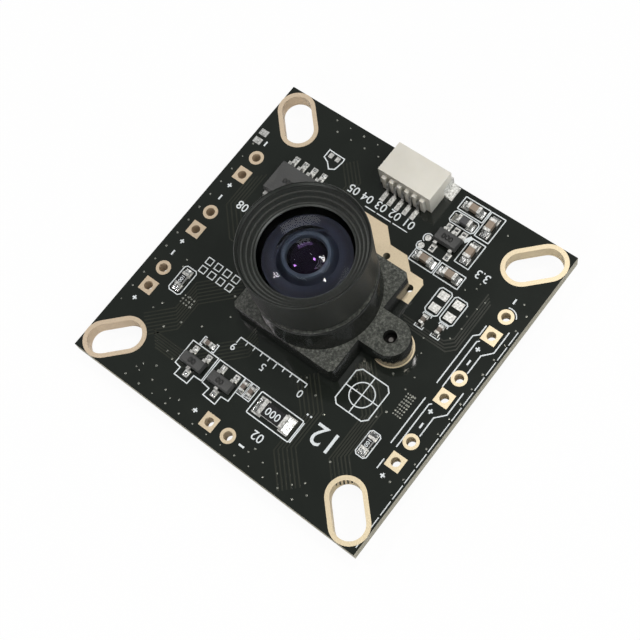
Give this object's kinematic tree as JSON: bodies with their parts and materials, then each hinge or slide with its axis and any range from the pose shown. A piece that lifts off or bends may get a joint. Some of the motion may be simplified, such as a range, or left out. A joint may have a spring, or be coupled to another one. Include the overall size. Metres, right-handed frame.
{
  "type": "camera module",
  "caption": "Square circuit board with a focusable lens in a moulded holder, an edge socket for a cable, plated corner slots and soldered surface-mount parts.",
  "frame": {"origin": "under the middle of the square board, level with the underside of the screw heads on its back", "axes": "+Z out of the front of the lens, +Y towards the cable socket's edge of the board, +X to the right with the socket at the top"},
  "size_m": [0.038, 0.038, 0.0171],
  "materials": {
    "solder_mask": "gloss",
    "gold_copper": "satin",
    "tin": "satin",
    "solder": "gloss",
    "socket_plastic": "satin",
    "contact_metal": "satin",
    "holder_plastic": "satin",
    "screw_steel": "satin",
    "filter_glass": "gloss",
    "sensor_ceramic": "matte",
    "sensor_silicon": "gloss",
    "clear_glass": "gloss",
    "barrel_black": "satin",
    "ring_black": "satin",
    "coated_glass": "gloss",
    "mount_black": "matte",
    "chip_epoxy": "matte",
    "capacitor_ceramic": "satin",
    "bead_ceramic": "satin",
    "resistor_ceramic": "satin",
    "resistor_glaze": "gloss",
    "small_ceramic": "satin",
    "crystal_ceramic": "satin",
    "can_metal": "satin"
  },
  "bodies": {
    "board": {"circuit_board": "solder_mask", "slot_plating": "gold_copper", "header_plating": "tin", "ground_copper": "gold_copper", "screw_hole_plating": "gold_copper", "solder_lands": "tin", "solder_joints": "solder", "socket_housing": "socket_plastic", "socket_contacts": "contact_metal", "socket_tabs": "contact_metal", "lens_holder": "holder_plastic", "holder_screws": "screw_steel", "infrared_filter": "filter_glass", "sensor_package": "sensor_ceramic", "sensor_die": "sensor_silicon", "sensor_glass": "clear_glass", "memory_body": "chip_epoxy", "memory_leads": "tin", "regulator_body": "chip_epoxy", "regulator_leads": "tin", "transistor_bodies": "chip_epoxy", "transistor_leads": "tin", "capacitor_bodies": "capacitor_ceramic", "capacitor_ends": "tin", "bead_body": "bead_ceramic", "bead_ends": "tin", "resistor_bodies": "resistor_ceramic", "resistor_ends": "tin", "resistor_coats": "resistor_glaze", "small_chip_bodies": "small_ceramic", "small_chip_ends": "tin", "processor_body": "chip_epoxy", "crystal_can": "can_metal", "crystal_base": "crystal_ceramic"},
    "lens": {"lens_barrel": "barrel_black", "front_ring": "ring_black", "rear_ring": "ring_black", "front_glass": "coated_glass", "inner_mount": "mount_black", "middle_glass": "coated_glass", "spacer_tube": "mount_black", "rear_glass": "clear_glass"}
  },
  "joints": [
    {"name": "lens_focus", "type": "slide", "parent": "board", "child": "lens", "axis": [0, 0, 1], "range_m": [-0.0005, 0.0015]}
  ]
}
